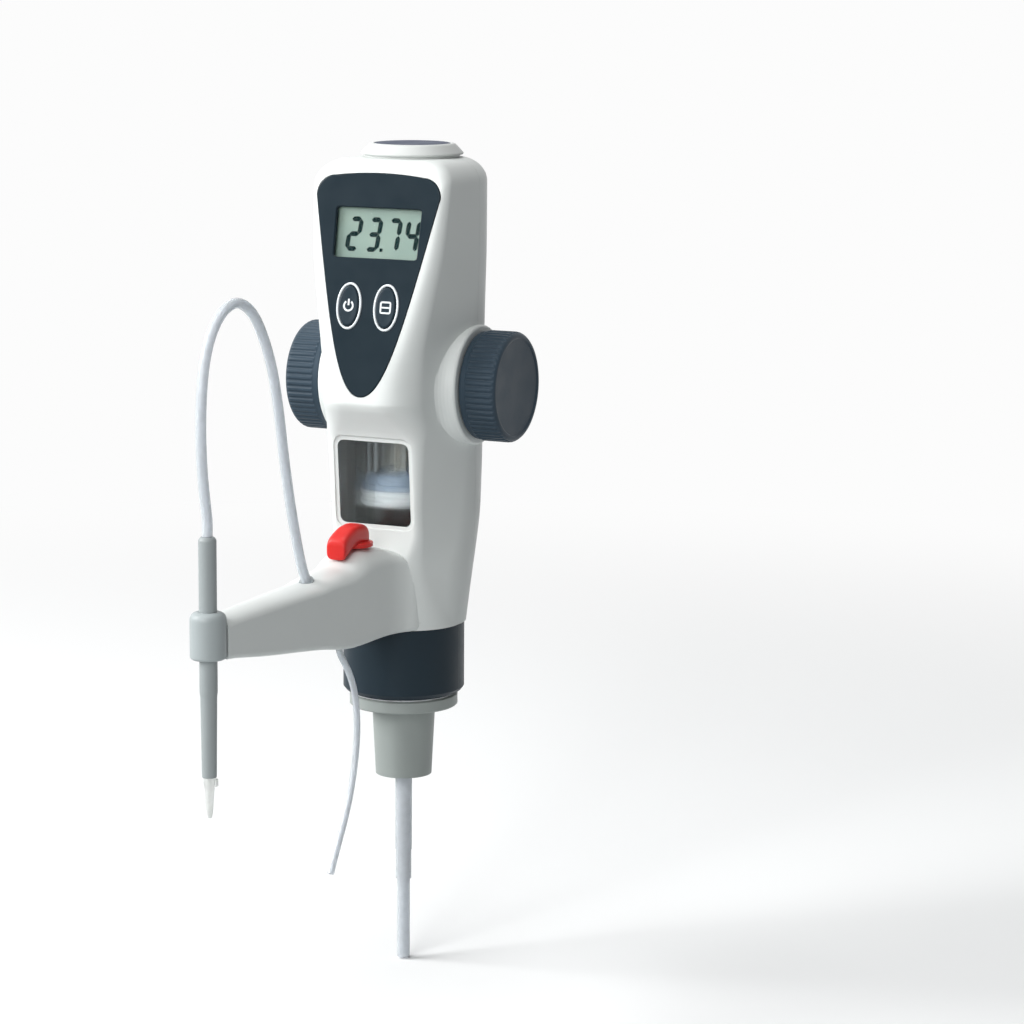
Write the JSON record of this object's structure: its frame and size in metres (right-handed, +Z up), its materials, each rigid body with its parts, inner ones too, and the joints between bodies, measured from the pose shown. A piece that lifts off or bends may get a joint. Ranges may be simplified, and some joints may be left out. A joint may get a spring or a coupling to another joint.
{
  "type": "bottle-top burette",
  "caption": "Digital bottle-top burette with display head, side handwheels, valve arm, hanging titration tube and ground-joint bottle adapter.",
  "frame": {"origin": "middle of the adapter flange's underside, on the axis of the bottle neck, where the bottle's rim lies", "axes": "+Z up along the bottle axis; the discharge arm and the display face point to -Y; the handwheels turn about X"},
  "size_m": [0.1066, 0.2285, 0.381],
  "materials": {
    "shell_grey": "fine satin moulding",
    "block_navy": "satin moulding",
    "adapter_grey": "satin moulding",
    "seal_white": "smooth fluoropolymer",
    "seal_dark": "smooth elastomer",
    "ball_ceramic": "polished",
    "tube_white": "translucent fluoropolymer tubing",
    "cap_white": "satin moulding",
    "inlay_slate": "semi-gloss disc",
    "panel_navy": "semi-gloss panel film",
    "clear_lens": "clear lens",
    "lcd_grey_green": "liquid crystal display",
    "light_ring": "clear light guide",
    "button_navy": "satin key cap",
    "board_green": "solder mask",
    "steel": "ground stainless steel",
    "bronze": "sintered bronze and brass",
    "borosilicate": "precision bore glass",
    "carrier_blue": "translucent moulding",
    "acetal": "machined acetal",
    "chassis_dark": "glass-filled moulding",
    "black_plastic": "matte moulding",
    "wheel_slate": "ribbed satin moulding",
    "cell_blue": "shrink sleeve, bare of print",
    "nickel": "plated spring contact",
    "lever_red": "semi-gloss moulding",
    "clamp_grey": "satin moulding",
    "sleeve_grey": "satin tube"
  },
  "bodies": {
    "body": {"valve_block": "block_navy", "bottle_adapter": "adapter_grey", "adapter_seal": "seal_white", "inlet_seat": "seal_white", "inlet_ball": "ball_ceramic", "filling_tube": "tube_white", "front_housing": "shell_grey", "rear_housing": "shell_grey", "top_cap": "cap_white", "cap_inlay": "inlay_slate", "case_screws": "steel", "display_panel": "panel_navy", "display_lens": "clear_lens", "lcd_module": "lcd_grey_green", "button_rings": "light_ring", "circuit_board": "board_green", "key_switches": "steel", "window_pane": "clear_lens", "battery_holder": "chassis_dark", "battery_cells": "cell_blue", "cell_contacts": "nickel", "glass_cylinder": "borosilicate", "cylinder_seal": "seal_dark", "cylinder_ring": "chassis_dark", "chassis": "chassis_dark", "shaft_bushes": "bronze", "layshaft": "steel", "encoder_sensor": "black_plastic", "valve_body": "seal_white", "inlet_duct": "tube_white", "outlet_duct": "tube_white", "return_duct": "tube_white", "tube_grommet": "seal_dark", "arm_clamp": "clamp_grey", "loop_tube": "tube_white", "return_hose": "tube_white"},
    "drive": {"wheel_shaft": "steel", "drive_pinion": "bronze", "encoder_disc": "black_plastic", "left_handwheel": "wheel_slate", "right_handwheel": "wheel_slate"},
    "layshaft_wheel": {"layshaft_gear": "acetal"},
    "output_wheel": {"output_gear": "acetal"},
    "piston": {"piston_seal": "seal_white", "piston_carrier": "carrier_blue", "piston_rack": "acetal", "guide_rods": "steel"},
    "power_key": {"power_button": "button_navy"},
    "clear_key": {"clear_button": "button_navy"},
    "lever": {"valve_lever": "lever_red", "valve_plug": "seal_white"},
    "spout": {"titration_tube": "sleeve_grey", "tube_liner": "tube_white", "nozzle": "tube_white"},
    "door": {"battery_door": "shell_grey"},
    "suction_tube": {"filling_tube_slide": "tube_white"}
  },
  "joints": [
    {"name": "drive_turn", "type": "hinge", "parent": "body", "child": "drive", "pos_m": [0, 0.0083, 0.15], "axis": [1, 0, 0], "range_deg": [-2489, 3266]},
    {"name": "layshaft_turn", "type": "hinge", "parent": "body", "child": "layshaft_wheel", "pos_m": [0, 0.0083, 0.16995], "axis": [1, 0, 0], "range_deg": [-872, 665]},
    {"name": "output_turn", "type": "hinge", "parent": "body", "child": "output_wheel", "pos_m": [0, 0.0083, 0.15], "axis": [1, 0, 0], "range_deg": [-178, 233]},
    {"name": "piston_slide", "type": "slide", "parent": "body", "child": "piston", "axis": [0, 0, 1], "range_m": [-0.0227, 0.0173]},
    {"name": "power_press", "type": "slide", "parent": "body", "child": "power_key", "axis": [0, 0.9799, -0.1994], "range_m": [0, 0.001], "stiffness_N_per_m": 400},
    {"name": "clear_press", "type": "slide", "parent": "body", "child": "clear_key", "axis": [0, 0.9799, -0.1994], "range_m": [0, 0.001], "stiffness_N_per_m": 400},
    {"name": "lever_turn", "type": "hinge", "parent": "body", "child": "lever", "pos_m": [0, -0.048, 0.0818], "axis": [0, 0, 1], "range_deg": [0, 90]},
    {"name": "tube_slide", "type": "slide", "parent": "body", "child": "spout", "axis": [0, 0, 1], "range_m": [-0.025, 0.02], "deforming": ["loop_tube"]},
    {"name": "battery_door_open", "type": "hinge", "parent": "body", "child": "door", "pos_m": [0, 0.0411, 0.1603], "axis": [-1, 0, 0], "range_deg": [0, 70]},
    {"name": "filling_tube_slide_move", "type": "slide", "parent": "body", "child": "suction_tube", "axis": [0, 0, 1], "range_m": [-0.03, 0.02]}
  ],
  "couplings": [
    {"joint": "layshaft_turn", "follows": "drive_turn", "ratio": -0.26667},
    {"joint": "output_turn", "follows": "drive_turn", "ratio": 0.071111},
    {"joint": "piston_slide", "follows": "drive_turn", "m_per_rad": -0.00039822}
  ]
}
